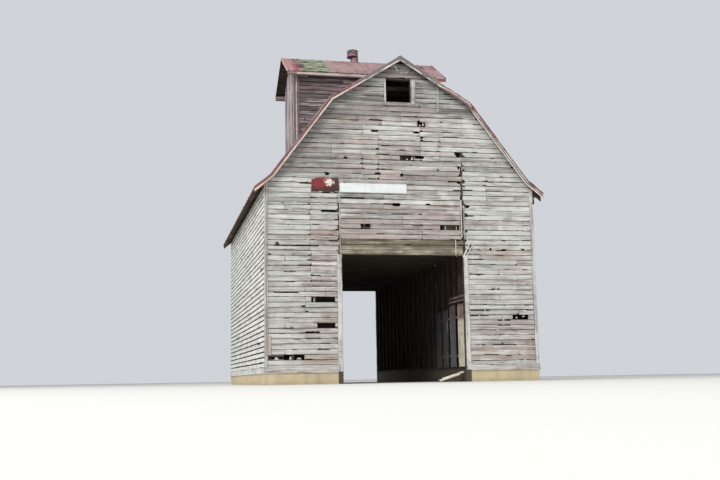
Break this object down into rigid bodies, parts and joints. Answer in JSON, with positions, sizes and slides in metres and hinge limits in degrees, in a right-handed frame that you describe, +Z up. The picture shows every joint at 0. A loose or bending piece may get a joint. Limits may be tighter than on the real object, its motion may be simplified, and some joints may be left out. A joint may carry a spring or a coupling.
{
  "type": "drive-through corn crib barn",
  "caption": "Weathered timber corn crib barn with a drive-through bay, gambrel roof with flared eaves, gabled headhouse on the ridge and missing boards.",
  "frame": {"origin": "on the level ground under the middle of the barn", "axes": "+Z up, +Y from the front wall to the rear wall, +X to the right seen from the front"},
  "size_m": [9.13, 12.59, 12.45],
  "materials": {
    "grey_siding": "weathered, dry and matt",
    "pale_boards": "weathered, dry and matt",
    "brown_timber": "weathered, dry and matt",
    "dark_timber": "weathered, dry and matt",
    "headhouse_siding": "weathered, dry and matt",
    "concrete": "old cast concrete, rough",
    "rusty_roof": "rusty painted sheets on boards, matt",
    "rusty_vent": "rusty sheet metal, matt",
    "white_sign": "bare white paint, satin"
  },
  "bodies": {
    "root": {"foundation_left": "concrete", "foundation_right": "concrete", "sills": "brown_timber", "front_wall_left": "grey_siding", "front_wall_right": "grey_siding", "front_wall_upper": "grey_siding", "rear_wall_left": "grey_siding", "rear_wall_right": "grey_siding", "rear_wall_upper": "grey_siding", "left_wall": "pale_boards", "right_wall": "pale_boards", "crib_walls": "brown_timber", "front_studs": "dark_timber", "rear_studs": "dark_timber", "side_studs": "dark_timber", "alley_studs": "dark_timber", "driveway_guards": "pale_boards", "headers": "dark_timber", "eave_plates": "brown_timber", "purlins": "brown_timber", "loft_joists": "dark_timber", "loft_floor": "brown_timber", "upper_rafters": "dark_timber", "lower_rafters": "dark_timber", "collar_ties": "brown_timber", "roof_upper_left": "rusty_roof", "roof_upper_right": "rusty_roof", "roof_lower_left": "rusty_roof", "roof_lower_right": "rusty_roof", "rake_boards": "pale_boards", "corner_boards": "pale_boards", "door_jambs": "pale_boards", "skirt_boards": "pale_boards", "hatch_trim": "pale_boards", "headhouse_front_wall": "headhouse_siding", "headhouse_rear_wall": "headhouse_siding", "headhouse_end_walls": "headhouse_siding", "headhouse_studs": "dark_timber", "headhouse_beams": "brown_timber", "headhouse_rafters": "dark_timber", "headhouse_roof_front": "rusty_roof", "headhouse_roof_rear": "rusty_roof", "headhouse_trim": "pale_boards", "vent_neck": "rusty_vent", "vent_cap": "rusty_vent", "signboards": "white_sign", "fallen_boards": "pale_boards"}
  },
  "joints": []
}
